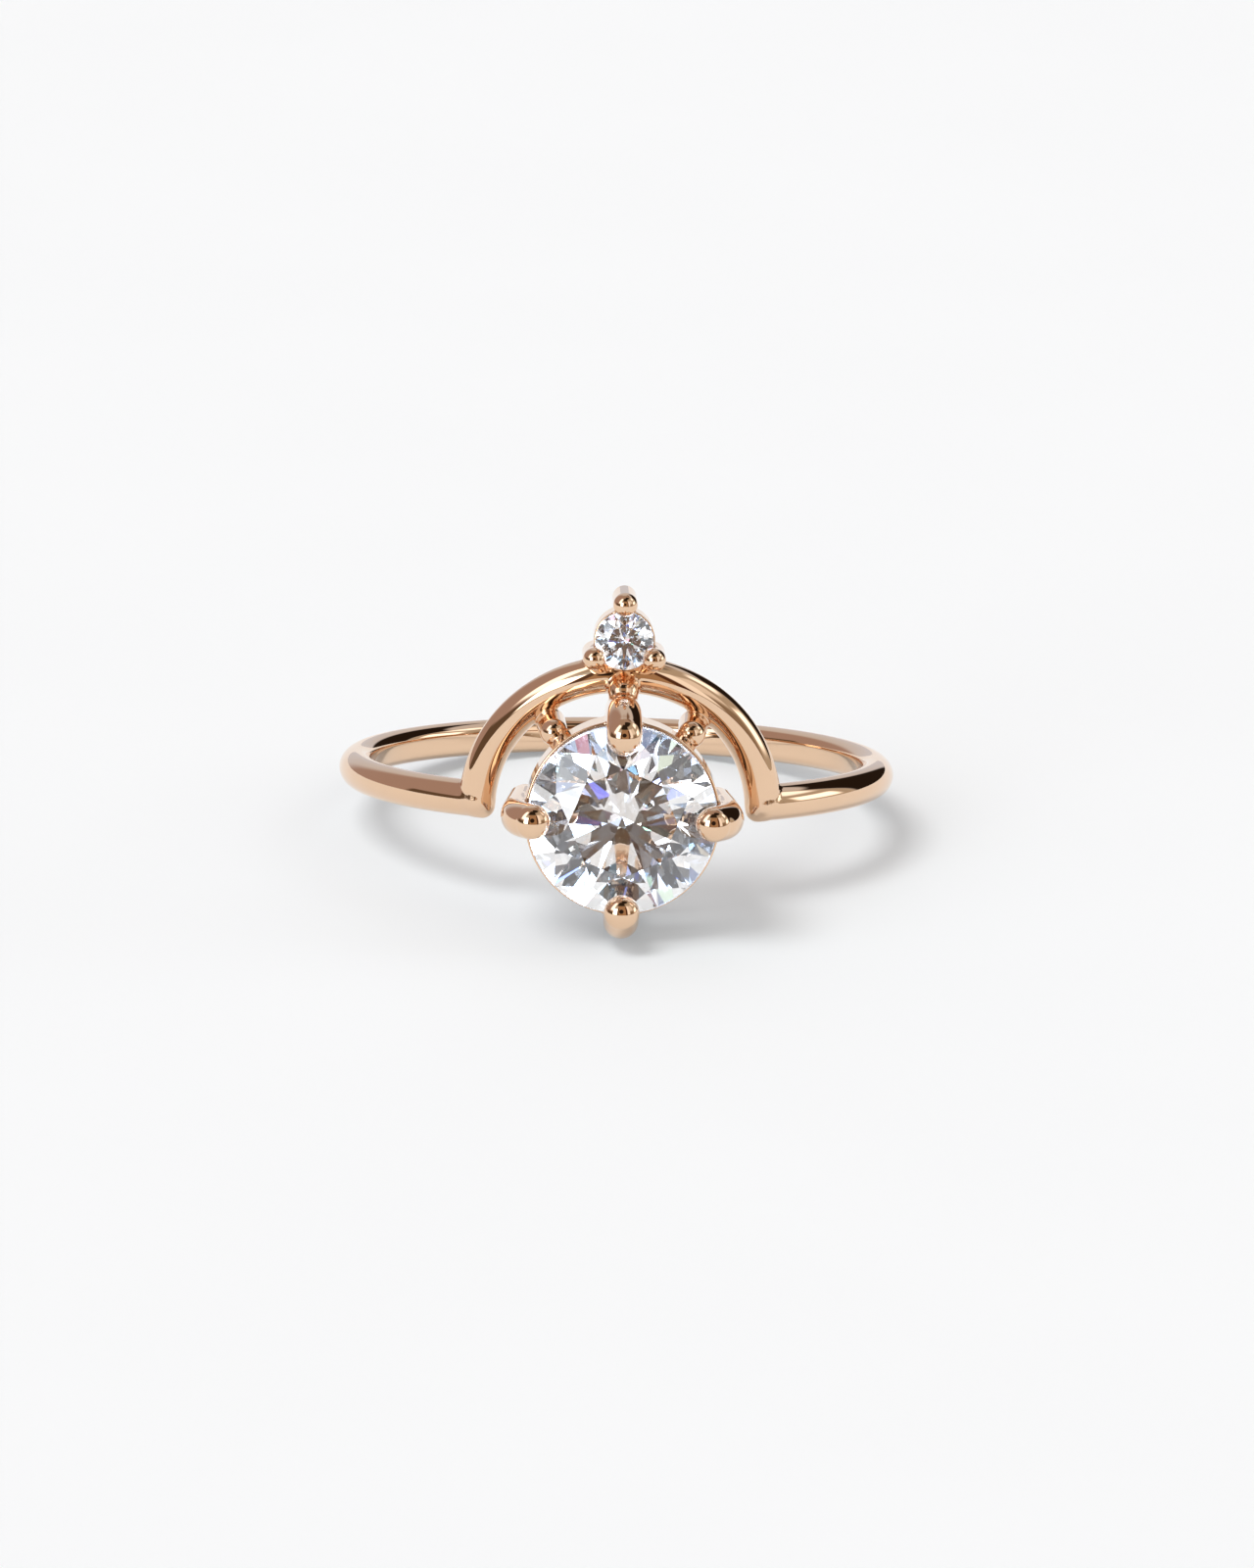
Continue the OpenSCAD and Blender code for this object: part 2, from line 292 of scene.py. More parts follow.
# %% Key lamp
LAMP_SIDE, LAMP_HEIGHT, LAMP_WIDTH = math.radians(-50), math.radians(60), math.radians(30)
LAMP_POWER = 1.5
key_lamp = bpy.data.objects.new("key_lamp", bpy.data.lights.new("key_lamp", "SUN"))
bpy.context.scene.collection.objects.link(key_lamp)
key_lamp.data.energy = LAMP_POWER
key_lamp.data.angle = LAMP_WIDTH
key_lamp.visible_glossy = False
to_lamp = Vector((math.sin(LAMP_SIDE) * math.cos(LAMP_HEIGHT), -math.cos(LAMP_SIDE) * math.cos(LAMP_HEIGHT),
                  math.sin(LAMP_HEIGHT)))
key_lamp.matrix_world = to_lamp.to_track_quat("Z", "Y").to_matrix().to_4x4()
print("lamp towards", [round(c, 2) for c in to_lamp])


# %% White paper
PAPER_WHITES = (0.636, 0.656, 0.666), (0.642, 0.662, 0.672)
PAPER_GLOW, GLOW_STRENGTH = (0.93, 0.94, 0.945, 1.0), 0.32


def paper_material():
    """Matt white paper: a faint cloud of pulp in its colour, and a fine tooth."""
    paper = bpy.data.materials.new("white_paper")
    paper.use_nodes = True
    board = Board(paper.node_tree)
    place = board.node("TexCoord", out="Object")
    pulp = board.node("TexNoise", sockets={"Vector": place, "Scale": 60.0, "Detail": 2.0})
    tooth = board.node("TexNoise", sockets={"Vector": place, "Scale": 5000.0, "Detail": 1.0})
    colour = pulp.smooth(0.3, 0.7).blend(*PAPER_WHITES)
    bump = board.node("Bump", sockets={"Strength": 0.05, "Distance": 0.00001, "Height": tooth})
    shader = board.node("BsdfPrincipled", sockets={
        "Base Color": colour, "Roughness": tooth * 0.1 + 0.85, "Specular IOR Level": 0.0, "Normal": bump,
        "Emission Color": PAPER_GLOW, "Emission Strength": GLOW_STRENGTH})
    board.node("OutputMaterial", sockets={"Surface": shader}, out=())
    return paper


PAPER_R = 0.22
sheet = bmesh.new()
bmesh.ops.create_circle(sheet, cap_ends=True, radius=PAPER_R, segments=96)
paper_mesh = bpy.data.meshes.new("paper")
sheet.to_mesh(paper_mesh)
sheet.free()
paper = bpy.data.objects.new("paper", paper_mesh)
bpy.context.scene.collection.objects.link(paper)
paper_mesh.materials.append(paper_material())
print("paper", PAPER_R * 2, "m across")

# %% [markdown]
# ## Rose gold
# Rose gold is gold with copper in it. A metal has no colour of its own beside its mirror image: what
# it reflects is tinted peach, and gold that mirrors gold is tinted twice, which gives the deep orange
# inside the arch. The polish isn't perfect. A polishing wheel leaves hair-fine lines and a slow wave in
# the surface, a ring that is handled gets tiny scratches, and the metal stays a little rougher in the
# solder seams, where the wheel can't reach. The seams' colour is also a little darker, which is painted
# shade in the creases between the pieces. Those are small changes of roughness, colour and bump, and the
# pattern of the seams is an attribute that the mesh gets further down.


# %% The polished metal
ROSE_GOLDS = (0.832, 0.584, 0.398), (0.844, 0.594, 0.406)
# A slightly darker gold for the seams: painted shade in the creases between the pieces.
SEAM_SHADE_GOLD = (0.81, 0.57, 0.40)


def rose_gold_material():
    gold = bpy.data.materials.new("rose_gold")
    gold.use_nodes = True
    board = Board(gold.node_tree)
    place = board.node("TexCoord", out="Object")
    seam = board.node("Attribute", {"attribute_name": "seam"}, out="Fac")
    wave = board.node("TexNoise", sockets={"Vector": place, "Scale": 350.0, "Detail": 1.0})
    cloud = board.node("TexNoise", sockets={"Vector": place, "Scale": 900.0, "Detail": 4.0})
    grain = board.node("TexNoise", sockets={"Vector": place, "Scale": 14000.0, "Detail": 2.0})
    stretched = board.node("Mapping", sockets={"Vector": place, "Rotation": (0.3, 0.5, 0.9),
                                               "Scale": (900.0, 26000.0, 26000.0)})
    scratch = board.node("TexNoise", sockets={"Vector": stretched, "Scale": 1.0, "Detail": 2.0})
    scratch = scratch.smooth(0.64, 0.74)
    # Where pieces meet, the seam mask roughens the gold and also paints it a little darker: painted shade in
    # the creases.
    seam_roughness_and_shade = seam * cloud.smooth(0.35, 0.65)
    colour = cloud.smooth(0.3, 0.7).blend(*ROSE_GOLDS)
    colour = seam_roughness_and_shade.blend(colour, SEAM_SHADE_GOLD)
    relief = wave * 2.0 + grain * (seam * 1.5 + 0.04) - scratch * 0.15
    bump = board.node("Bump", sockets={"Strength": 1.0, "Distance": 0.0000006, "Height": relief})
    shader = board.node("BsdfPrincipled", sockets={
        "Base Color": colour, "Metallic": 1.0, "Normal": bump,
        "Roughness": cloud * 0.012 + scratch * 0.03 + seam_roughness_and_shade * 0.09 + 0.012})
    board.node("OutputMaterial", sockets={"Surface": shader}, out=())
    return gold


rose_gold = rose_gold_material()
print("rose gold nodes", len(rose_gold.node_tree.nodes))

# %% [markdown]
# ## Wires
# Nearly all of this ring is round wire: the band, the arch, the claws, the base ring and the struts. A
# curve object with a bevel could draw them, but a bmesh sweep gives closed round ends and a thickness
# that changes along the way. A circle is made at the first station, then its edge is extruded again and
# again, and a matrix carries each new ring of vertices to its station. The half ball at each end is just
# more stations, closer together and smaller. A path is a list of pairs: a point and the wire's radius.

# %% Sweep a round wire
SIDES = 40
STEP = 0.1
END_ANGLES = [math.radians(a) for a in range(10, 90, 10)]


def stations_of(path):
    """The path's points with their directions, and a half ball of stations at each end."""
    points = [point for point, radius in path]
    last = len(points) - 1
    ways = [(points[min(i + 1, last)] - points[max(i - 1, 0)]).normalized() for i in range(last + 1)]
    first_r, last_r = path[0][1], path[-1][1]
    start = [(points[0] - ways[0] * first_r * math.sin(a), ways[0], first_r * math.cos(a))
             for a in reversed(END_ANGLES)]
    end = [(points[-1] + ways[-1] * last_r * math.sin(a), ways[-1], last_r * math.cos(a))
           for a in END_ANGLES]
    return start + [(point, way, radius) for (point, radius), way in zip(path, ways)] + end


def draw_wire(path):
    """A closed bmesh of round wire along a path of (point, radius)."""
    stations = stations_of(path)
    turn = stations[0][1].to_track_quat("Z", "Y")
    wire = bmesh.new()
    place = None
    for point, way, radius in stations:
        turn = (turn @ Vector((0, 0, 1))).rotation_difference(way) @ turn
        here = Matrix.Translation(point) @ turn.to_matrix().to_4x4() @ Matrix.Diagonal((radius,) * 3 + (1,))
        if place is None:
            bmesh.ops.create_circle(wire, cap_ends=True, radius=1, segments=SIDES, matrix=here)
            rim = wire.edges[:]
        else:
            made = bmesh.ops.extrude_edge_only(wire, edges=rim)["geom"]
            verts = [g for g in made if isinstance(g, bmesh.types.BMVert)]
            bmesh.ops.transform(wire, matrix=here @ place.inverted(), verts=verts)
            rim = [g for g in made if isinstance(g, bmesh.types.BMEdge) and set(g.verts) <= set(verts)]
        place = here
    bmesh.ops.contextual_create(wire, geom=rim)
    bmesh.ops.recalc_face_normals(wire, faces=wire.faces)
    return wire


wires = {}
print("a wire has", SIDES, "sides and a station every", STEP, "mm")

# %% [markdown]
# ## The band and the arch
# The band is a size 7 ring, so the finger hole is 17.3 mm across. It isn't a whole circle: at the front
# it turns up into the arch. The arch is one half circle seen from the front, bent round the finger like
# the band, so each of its points lies on the band's cylinder: x and z follow the half circle, and y
# follows from x. Both wires are drawn by formula, with a station every tenth of a millimetre. Where they
# meet, the corner is filed almost sharp, and a small ball in it leaves just a soft edge.

# %% Band, arch and corners
finger_r = 8.65
band_wire_r = 0.625
ring_r = 9.17
arch_r = 4.95
arch_wire_r = 0.64
arch_z = -0.34
corner_ball_r = 0.65
corner_edge = 0.22
corner_length = 0.02
arch_bend = 1.15

arch_sag = math.asin(-arch_z / arch_r)
corner_x = arch_r * math.cos(arch_sag)
corner_y = -math.sqrt(ring_r ** 2 - corner_x ** 2)
corner_angle = math.asin(corner_x / ring_r)


def spaced(start, end, radius):
    """Angles from start to end that put a station every STEP on a circle of this radius."""
    count = round((end - start) * radius / STEP)
    return [start + (end - start) * i / count for i in range(count + 1)]


def on_arch(angle):
    x = arch_r * math.cos(angle)
    return Vector((x, -math.sqrt(ring_r ** 2 - x * x), arch_z + arch_r * math.sin(angle)))


wires["band"] = [(Vector((ring_r * math.sin(a), -ring_r * math.cos(a), 0)), band_wire_r)
                 for a in spaced(corner_angle, math.tau - corner_angle, ring_r)]
wires["arch"] = [(on_arch(a), arch_wire_r) for a in spaced(arch_sag, math.pi - arch_sag, arch_r * arch_bend)]
for side, name in ((1, "right_corner"), (-1, "left_corner")):
    inwards = Vector((-side * math.cos(corner_angle), -math.sin(corner_angle), -1))
    ball = Vector((side * corner_x, corner_y, 0)) + corner_edge * inwards
    wires[name] = [(ball + Vector((0, 0, dz)), corner_ball_r - corner_edge) for dz in (0, corner_length)]
print("band stations", len(wires["band"]), "arch stations", len(wires["arch"]))

# %% [markdown]
# ## The claws of the large stone
# Four claws of round wire rise from the band beside the stone. Each leans out a little to clear the
# girdle, then bends over the crown to hold it. They are the same wire four times, drawn in the stone's
# own frame, where z points out of the stone's face, and turned about it. A few points are enough, since
# a spline with soft bends runs through them. The top claw reaches further over the stone than the
# others, as in the photograph. The mirror images on the claws' tips show domes that are flatter than
# balls, so each claw also gets a fatter wire behind it, and its front is later cut to that wire's skin.

# %% Four claws
large_y, large_z, large_r = 12.5, 0.05, 3.25
claw_r = 0.61
claw_out = 3.54
claw_foot = 3.3
upright_gap, side_sink = 0.01, 0.02
tip_at, tip_height = 3.08, 0.93
top_reach, top_rise = 0.16, 0.03
bend_depth = -0.3
dome_r, dome_cut = 0.98, 0.07
domes = {}


def at_face(y, z, turn=0.0):
    """From a stone's own frame (z out of its face) to the ring's, turned about the stone's axis."""
    to_front = Matrix.Rotation(math.pi / 2, 4, "X")
    return Matrix.Translation((0, -y, z)) @ to_front @ Matrix.Rotation(turn, 4, "Z")


def through(points, place=Matrix()):
    """A path of stations on a soft spline through points of (x, y, z, radius), then placed."""
    spots = [place @ Vector(p[:3]) for p in points]
    path = []
    for i in range(len(spots) - 1):
        a, b = spots[i], spots[i + 1]
        leave = (b - spots[max(i - 1, 0)]) / 2
        arrive = (spots[min(i + 2, len(spots) - 1)] - a) / 2
        count = max(2, round((b - a).length / STEP))
        for k in range(count + (i == len(spots) - 2)):
            t = k / count
            spot = (a * (2 * t ** 3 - 3 * t ** 2 + 1) + leave * (t ** 3 - 2 * t ** 2 + t)
                    + b * (3 * t ** 2 - 2 * t ** 3) + arrive * (t ** 3 - t ** 2))
            path.append((spot, points[i][3] + (points[i + 1][3] - points[i][3]) * t))
    return path


upright_foot = finger_r + claw_r + upright_gap
side_foot = math.sqrt((finger_r + claw_r - side_sink) ** 2 - claw_foot ** 2)
for name, turn, foot in (("top", 90, upright_foot), ("bottom", -90, upright_foot),
                         ("right", 0, side_foot), ("left", 180, side_foot)):
    line = [(claw_foot, 0, foot - large_y, claw_r), (claw_out, 0, bend_depth, claw_r),
            (tip_at, 0, tip_height, claw_r)]
    if name == "top":
        line.append((tip_at - top_reach, 0, tip_height + top_rise, claw_r))
    wires["claw_" + name] = through(line, at_face(large_y, large_z, math.radians(turn)))
    behind = Vector((0, dome_r - claw_r + dome_cut, 0))
    domes["claw_" + name] = [(point + behind, dome_r) for point, radius in wires["claw_" + name]]
print("claw stations", [len(wires["claw_" + n]) for n in ("top", "bottom", "right", "left")])

# %% [markdown]
# ## Base ring, struts and bead
# Behind the stone a thin ring of wire ties the four claws to the band. Two short struts hold the
# setting in the arch like the hands of a clock, and a bead fills the gap between the arch and the top
# claw. They are all wire again: the base ring is a path that closes on itself, and the struts and the
# bead are so short that their round ends are most of what shows.

# %% Base ring, struts and bead
base_r, base_wire_r, base_gap = 2.75, 0.38, 0.05
strut_angle = math.radians(52.2)
strut_front_r, strut_back_r = 0.475, 0.515
strut_front_in, strut_back_in = 1.10, 0.95
strut_front_y, strut_back_y = 10.2, 8.75
bead_r, bead_front_y = 0.53, 10.0
bead_in, bead_rise = 0.52, 0.12

base_place = at_face(finger_r + base_wire_r + base_gap, large_z)
wires["base_ring"] = [(base_place @ Vector((base_r * math.cos(a), base_r * math.sin(a), 0)), base_wire_r)
                      for a in spaced(0, math.tau, base_r)]


def below_arch(side, y, inset):
    """A point at a depth y on the strut's line, a distance inside the arch's own line."""
    reach = arch_r - inset
    return (side * reach * math.cos(strut_angle), -y, arch_z + reach * math.sin(strut_angle))


for side, name in ((1, "right_strut"), (-1, "left_strut")):
    wires[name] = through([(*below_arch(side, strut_front_y, strut_front_in), strut_front_r),
                           (*below_arch(side, strut_back_y, strut_back_in), strut_back_r)])
bead_z = arch_z + arch_r - bead_in
wires["bead"] = through([(0, -bead_front_y, bead_z, bead_r), (0, -ring_r, bead_z + bead_rise, bead_r)])
print("wires so far", len(wires))

# %% [markdown]
# ## The small stone's claws
# The small stone on top of the arch sits in three short straight claws: one above it and two at the
# sides that sink into the arch.

# %% Three small claws
small_y, small_z, small_r = 10.6, 5.93, 1.0
small_tip = 0.4
SmallClaw = namedtuple("SmallClaw", "name turn out radius lean")
SMALL_CLAWS = (
    SmallClaw("small_top", 90, 1.32, 0.42, 0.03),
    SmallClaw("small_left", 210, 1.19, 0.40, 0.01),
    SmallClaw("small_right", 330, 1.19, 0.40, 0.01),
)
for claw in SMALL_CLAWS:
    line = [(claw.out - claw.lean, 0, small_tip, claw.radius), (claw.out, 0, ring_r - small_y, claw.radius)]
    wires[claw.name] = through(line, at_face(small_y, small_z, math.radians(claw.turn)))
print("wires in all", len(wires))

# %% [markdown]
# ## Gallery and collet
# Under the girdle of the large stone runs a short tube, the gallery, whose thin rim shows round the
# stone's upper half. The small stone has a thicker one of its own, the collet. Both are turned on a
# lathe in a workshop, and here too: a closed profile of edges, with a rounded corner, is spun round the
# axis. Only the edges are spun, because a spun face would leave a wall inside the tube.

# %% Turn a tube
Tube = namedtuple("Tube", "place bore_r outer_r back front edge")
tubes = {
    "gallery": Tube(at_face(large_y, large_z), 3.05, 3.34, -1.9, -0.3, 0.06),
    "collet": Tube(at_face(small_y, small_z), 0.45, 1.05, ring_r - small_y, -0.12, 0.05),
}
TURNS = 180


def turn_on_lathe(profile, place, steps=TURNS, closed=True):
    """Spins a profile of (radius, height) round z and places it."""
    work = bmesh.new()
    verts = [work.verts.new((radius, 0, z)) for radius, z in profile]
    first = 0 if closed else 1
    edges = [work.edges.new((verts[i - 1], verts[i])) for i in range(first, len(verts))]
    bmesh.ops.spin(work, geom=edges, axis=(0, 0, 1), angle=math.tau, steps=steps, use_merge=True)
    bmesh.ops.remove_doubles(work, verts=work.verts, dist=1e-5)
    bmesh.ops.recalc_face_normals(work, faces=work.faces)
    bmesh.ops.transform(work, matrix=place, verts=work.verts)
    return work


def tube_profile(tube):
    corner = [(tube.edge * (1 - math.cos(a)), tube.edge * (1 - math.sin(a)))
              for a in (0, math.pi / 6, math.pi / 3, math.pi / 2)]
    return ([(tube.bore_r + u, tube.back + v) for u, v in corner]
            + [(tube.outer_r - u, tube.back + v) for u, v in corner[::-1]]
            + [(tube.outer_r - u, tube.front - v) for u, v in corner]
            + [(tube.bore_r + u, tube.front - v) for u, v in corner[::-1]])


print("tubes", list(tubes), "with", len(tube_profile(tubes["gallery"])), "points round")

# %% [markdown]
# ## Solder it all into one piece
# On the bench every wire is soldered to the next, and the whole setting becomes one solid. Boolean
# modifiers do the same here. Each piece becomes an object of its own, and the first one gets a modifier
# for each of the others. The manifold solver is fast and leaves a closed mesh, as long as every piece is
# closed itself.


# %% Union of the pieces
def as_object(work, name):
    """A mesh object from a bmesh, with its large end faces cut into triangles."""
    bmesh.ops.triangulate(work, faces=[f for f in work.faces if len(f.verts) > 4])
    mesh = bpy.data.meshes.new(name)
    work.to_mesh(mesh)
    work.free()
    made = bpy.data.objects.new(name, mesh)
    bpy.context.scene.collection.objects.link(made)
    return made


def combine(base, others, operation):
    """Applies one Boolean modifier for each other object to base, and removes the others."""
    for other in others:
        modifier = base.modifiers.new(other.name, "BOOLEAN")
        modifier.operation = operation
        modifier.solver = "MANIFOLD"
        modifier.object = other
    solved = base.evaluated_get(bpy.context.evaluated_depsgraph_get())
    mesh = bpy.data.meshes.new_from_object(solved)
    base.modifiers.clear()
    base.data = mesh
    for other in others:
        bpy.data.objects.remove(other)


def corner_ball(path):
    ball = bmesh.new()
    bmesh.ops.create_uvsphere(ball, u_segments=32, v_segments=16, radius=path[0][1],
                              matrix=Matrix.Translation(path[0][0]))
    return ball


parts = [as_object(corner_ball(path) if "corner" in name else draw_wire(path), name)
         for name, path in wires.items()]
parts += [as_object(turn_on_lathe(tube_profile(tube), tube.place), name) for name, tube in tubes.items()]
metal = parts[0]
combine(metal, parts[1:], "UNION")
print("soldered metal:", len(metal.data.vertices), "vertices,", len(metal.data.polygons), "faces")

# %% [markdown]
# ## Solder fillets
# A Boolean union leaves a knife-sharp crease where two wires cross. Solder flows into that crease and
# leaves a small round fillet. A bevel can't follow such ragged creases, so the surface is described a
# second time, as a distance: how far a point is from each wire and tube. A soft minimum of those
# distances is the shape with fillets, and each vertex slides along its slope until its distance is 0.
# The band's inner side is cut to the finger hole in the same way, with a softly eased edge. The slope
# is also the exact direction that the polished surface faces.

# %% Distance to a wire and to a tube
SOLDER, CORNER, EASED, DOME_EDGE = 0.05, 0.02, 0.03, 0.05
FAR = 9.0
REACH = 0.6
BAND_NAMES = ("band", "arch", "right_corner", "left_corner")


def near_wire(points, path):
    """Distance to a wire and the way out of it; points beyond REACH are only told they are far."""
    line = np.array([point[:] for point, radius in path])
    radii = np.array([radius for point, radius in path])
    margin = radii.max() + REACH
    close = ((points > line.min(0) - margin) & (points < line.max(0) + margin)).all(1)
    distance = np.full(len(points), FAR)
    way = np.zeros_like(points)
    here = points[close]
    nearest = np.argmin((line * line).sum(1)[None] - 2 * here @ line.T, axis=1)
    best = np.full(len(here), FAR)
    best_way = np.zeros_like(here)
    for start in (np.maximum(nearest - 1, 0), np.minimum(nearest, len(line) - 2)):
        step = line[start + 1] - line[start]
        along = np.clip(((here - line[start]) * step).sum(1) / (step * step).sum(1), 0, 1)
        off = here - (line[start] + step * along[:, None])
        length = np.maximum(np.linalg.norm(off, axis=1), 1e-9)
        d = length - (radii[start] + (radii[start + 1] - radii[start]) * along)
        closer = d < best
        best = np.where(closer, d, best)
        best_way[closer] = (off / length[:, None])[closer]
    distance[close] = best
    way[close] = best_way
    return distance, way


def near_tube(points, tube):
    """Distance to a tube with rounded edges and the way out of it, worked out in its own section."""
    inverse = np.array(tube.place.inverted())
    local = points @ inverse[:3, :3].T + inverse[:3, 3]
    rho = np.maximum(np.hypot(local[:, 0], local[:, 1]), 1e-9)
    across = rho - (tube.bore_r + tube.outer_r) / 2
    along = local[:, 2] - (tube.back + tube.front) / 2
    u = np.abs(across) - ((tube.outer_r - tube.bore_r) / 2 - tube.edge)
    v = np.abs(along) - ((tube.front - tube.back) / 2 - tube.edge)
    outside = np.hypot(np.maximum(u, 0), np.maximum(v, 0))
    distance = outside + np.minimum(np.maximum(u, v), 0) - tube.edge
    rounded = outside > 1e-9
    way_u = np.where(rounded, np.maximum(u, 0) / np.maximum(outside, 1e-9), u > v) * np.sign(across)
    way_v = np.where(rounded, np.maximum(v, 0) / np.maximum(outside, 1e-9), v >= u) * np.sign(along)
    way = np.stack([way_u * local[:, 0] / rho, way_u * local[:, 1] / rho, way_v], axis=1)
    return distance, way @ inverse[:3, :3]


def soften(pairs, radius):
    """The soft minimum of (distance, way) pairs: a fillet of about this radius where two meet."""
    distances = np.array([pair[0] for pair in pairs])
    ways = np.array([pair[1] for pair in pairs])
    least = distances.min(0)
    share = np.exp((least - distances) / radius)
    total = share.sum(0)
    return least - radius * np.log(total), (share[:, :, None] * ways).sum(0) / total[:, None]


# %% The metal's skin
def cut_to(inner, outer, radius):
    """What two shapes share, as (distance, way): the soft maximum, with an eased edge."""
    distance, way = soften([(-inner[0], -inner[1]), (-outer[0], -outer[1])], radius)
    return -distance, -way


def piece_distances(points):
    band = [near_wire(points, wires[name]) for name in BAND_NAMES]
    others = [near_tube(points, tube) for tube in tubes.values()]
    for name, path in wires.items():
        if name in BAND_NAMES:
            continue
        piece = near_wire(points, path)
        if name in domes:
            piece = cut_to(piece, near_wire(points, domes[name]), DOME_EDGE)
        others.append(piece)
    return band, others


def metal_skin(points):
    """Distance of points from the filleted metal, cut by the finger hole, and the way out of it."""
    band, others = piece_distances(points)
    distance, way = soften([soften(band, CORNER)] + others, SOLDER)
    rho = np.hypot(points[:, 0], points[:, 1])
    to_finger = np.stack([points[:, 0] / rho, points[:, 1] / rho, 0 * rho], axis=1)
    distance, way = cut_to((distance, way), (finger_r - rho, -to_finger), EASED)
    return distance, way / np.maximum(np.linalg.norm(way, axis=1), 1e-9)[:, None]


def read_points(mesh):
    flat = np.zeros(len(mesh.vertices) * 3)
    mesh.vertices.foreach_get("co", flat)
    return flat.reshape(-1, 3)


ROUNDS, LONGEST = 6, 0.08
skin = read_points(metal.data)
for _ in range(ROUNDS):
    distance, way = metal_skin(skin)
    skin -= np.clip(distance, -LONGEST, LONGEST)[:, None] * way
metal.data.vertices.foreach_set("co", skin.ravel())
metal.data.update()
print("99 of 100 vertices lie within", round(float(np.percentile(np.abs(metal_skin(skin)[0]), 99)), 5), "mm")

# %% [markdown]
# ## Cut the seats
# A setter cuts a notch into each claw for the girdle to sit in. The same cut leaves a hair of air round
# the stones, so that gold and stone never share a face. The cutter is the stone's own outline, grown by
# the gap and turned on the lathe.

# %% Seats for both stones
TABLE, CROWN, PAVILION, GIRDLE = 0.57, math.radians(34.5), math.radians(40.75), 0.026
SEAT_GAP = 0.03
SEAT_DEEPER, SEAT_RIM = 1.4, 0.4
SEAT_TURNS = 160


def seat_cutter(y, z, radius):
    girdle = GIRDLE * radius
    table = girdle + radius * (1 - TABLE) * math.tan(CROWN)
    point = girdle + radius * math.tan(PAVILION)
    profile = [(0, -point - SEAT_GAP * SEAT_DEEPER), (radius + SEAT_GAP, -girdle - SEAT_GAP * SEAT_RIM),
               (radius + SEAT_GAP, girdle + SEAT_GAP * SEAT_RIM),
               (radius * TABLE + SEAT_GAP, table + SEAT_GAP), (0, table + SEAT_GAP)]
    return turn_on_lathe(profile, at_face(y, z), SEAT_TURNS, closed=False)


cutters = [as_object(seat_cutter(large_y, large_z, large_r), "large_seat"),
           as_object(seat_cutter(small_y, small_z, small_r), "small_seat")]
combine(metal, cutters, "DIFFERENCE")
print("after the seats:", len(metal.data.vertices), "vertices")

# %% [markdown]
# ## Polish
# Shading smooth between faces would round the crisp edges of the seats. So each face corner gets its own
# direction: the skin's slope where the vertex lies on the polished skin, and the face's own direction
# on the cut faces. The same distances also tell where two pieces meet, and that share becomes the seam
# attribute, which roughens the gold where the wheel can't reach and also darkens its colour a little
# there, a painted shade in the creases.

# %% Directions and seams
SKIN_LIMIT, TURN_LIMIT = 0.01, 0.75
SEAM_WIDTH = 0.10

mesh = metal.data
skin = read_points(mesh)
distance, way = metal_skin(skin)
corner_vertex = np.zeros(len(mesh.loops), int)
mesh.loops.foreach_get("vertex_index", corner_vertex)
face_way = np.zeros(len(mesh.polygons) * 3)
mesh.polygons.foreach_get("normal", face_way)
corners = np.zeros(len(mesh.polygons), int)
mesh.polygons.foreach_get("loop_total", corners)
face_way = np.repeat(face_way.reshape(-1, 3), corners, axis=0)
corner_way = way[corner_vertex]
cut = (np.abs(distance[corner_vertex]) > SKIN_LIMIT) | ((corner_way * face_way).sum(1) < TURN_LIMIT)
corner_way[cut] = face_way[cut]

band, others = piece_distances(skin)
ordered = np.sort(np.array([pair[0] for pair in band + others]), axis=0)
seam = mesh.attributes.new("seam", "FLOAT", "POINT")
seam.data.foreach_set("value", np.exp(-(ordered[1] - ordered[0]) / SEAM_WIDTH))
print("corners on cut faces:", int(cut.sum()), "of", len(cut))

# %% Lean the finished metal as it rests
mesh.transform(ring_to_rest)
mesh.polygons.foreach_set("use_smooth", np.ones(len(mesh.polygons), bool))
mesh.normals_split_custom_set((corner_way @ np.array(ring_turn).T).tolist())
mesh.materials.clear()
mesh.materials.append(rose_gold)
metal.name = "ring_metal_polished"
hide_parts("ring_metal")
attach(metal, "root")
skin = read_points(mesh)
print("metal box, m:", skin.min(0).round(5).tolist(), skin.max(0).round(5).tolist())

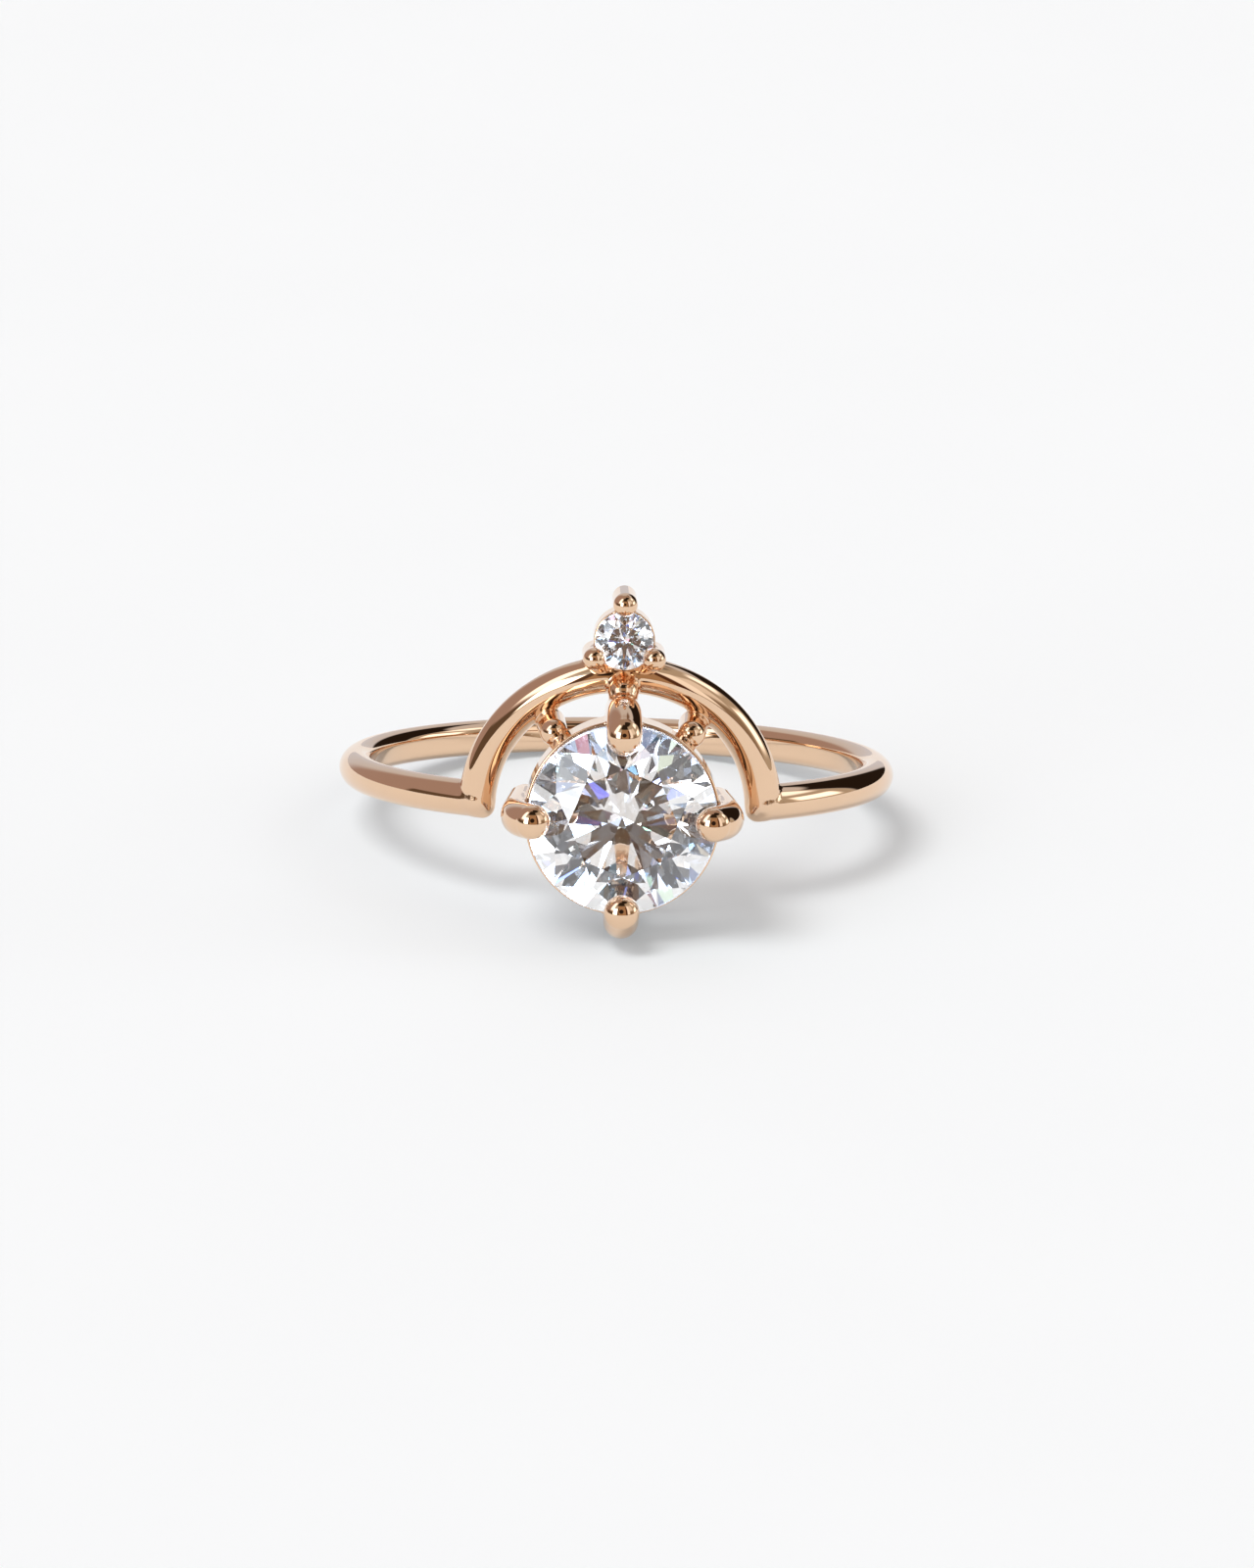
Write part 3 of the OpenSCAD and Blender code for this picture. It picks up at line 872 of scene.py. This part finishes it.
# %% [markdown]
# ## Diamonds
# A cut stone is a solid piece of glass with a high index, 2.42, and all its sparkle comes from its
# facets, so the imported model's flat facets are used as they are. Only the girdle isn't polished: it is
# ground, and shows as a fine frosted line. A Mapping node moves the object's coordinates to the middle
# of the stone and turns them, so that the distance from its axis finds the girdle. A stone also lets
# light through onto the paper, which clear glass alone doesn't show without caustics, so for shadow rays
# the glass is half transparent.

# %% Clear glass with a frosted girdle
DIAMOND_IOR = 2.42
SHADOW_SHARE = 0.6
GROUND_FROM, GROUND_TO = 0.975, 0.990
SPECKLES, FROST = 30.0, 0.5


def diamond_material(name, y, z, radius):
    diamond = bpy.data.materials.new(name)
    diamond.use_nodes = True
    board = Board(diamond.node_tree)
    place = ring_to_rest @ at_face(y, z)
    own = board.node("Mapping", {"vector_type": "TEXTURE"}, {
        "Vector": board.node("TexCoord", out="Object"), "Location": tuple(place.translation),
        "Rotation": tuple(place.to_euler()), "Scale": (MM,) * 3})
    off_axis = (own * (1, 1, 0)).maths("LENGTH", own * (1, 1, 0), out="Value")
    ground = off_axis.smooth(radius * GROUND_FROM, radius * GROUND_TO)
    speckle = board.node("TexNoise", sockets={"Vector": own, "Scale": SPECKLES / radius, "Detail": 2.0})
    glass = board.node("BsdfGlass", sockets={"IOR": DIAMOND_IOR, "Roughness": ground * speckle * FROST})
    clear = board.node("BsdfTransparent")
    for_shadow = board.node("LightPath", out="Is Shadow Ray")
    shader = board.node("MixShader", sockets={0: for_shadow * SHADOW_SHARE, 1: glass, 2: clear})
    board.node("OutputMaterial", sockets={"Surface": shader}, out=())
    return diamond


for name, y, z, radius in (("centre_stone", large_y, large_z, large_r),
                           ("accent_stone", small_y, small_z, small_r)):
    stone = nodes[name].data
    stone.materials.clear()
    stone.materials.append(diamond_material(name + "_diamond", y, z, radius))
    print(name, len(stone.polygons), "triangles")

# %% [markdown]
# ## Render settings
# Light bounces many times inside a stone before it comes out, so the limits on bounces are high. The
# plain Standard view keeps the white paper white. Caustics from the gold would only add noise and tint
# the paper, and the photograph's shadows are neutral.

# %% Light paths and view
scene = bpy.context.scene
scene.view_settings.view_transform = "Standard"
scene.cycles.max_bounces = 24
scene.cycles.transmission_bounces = 20
scene.cycles.glossy_bounces = 12
scene.cycles.use_denoising = True
scene.cycles.caustics_reflective = False
scene.cycles.caustics_refractive = False
print("bounces", scene.cycles.max_bounces)
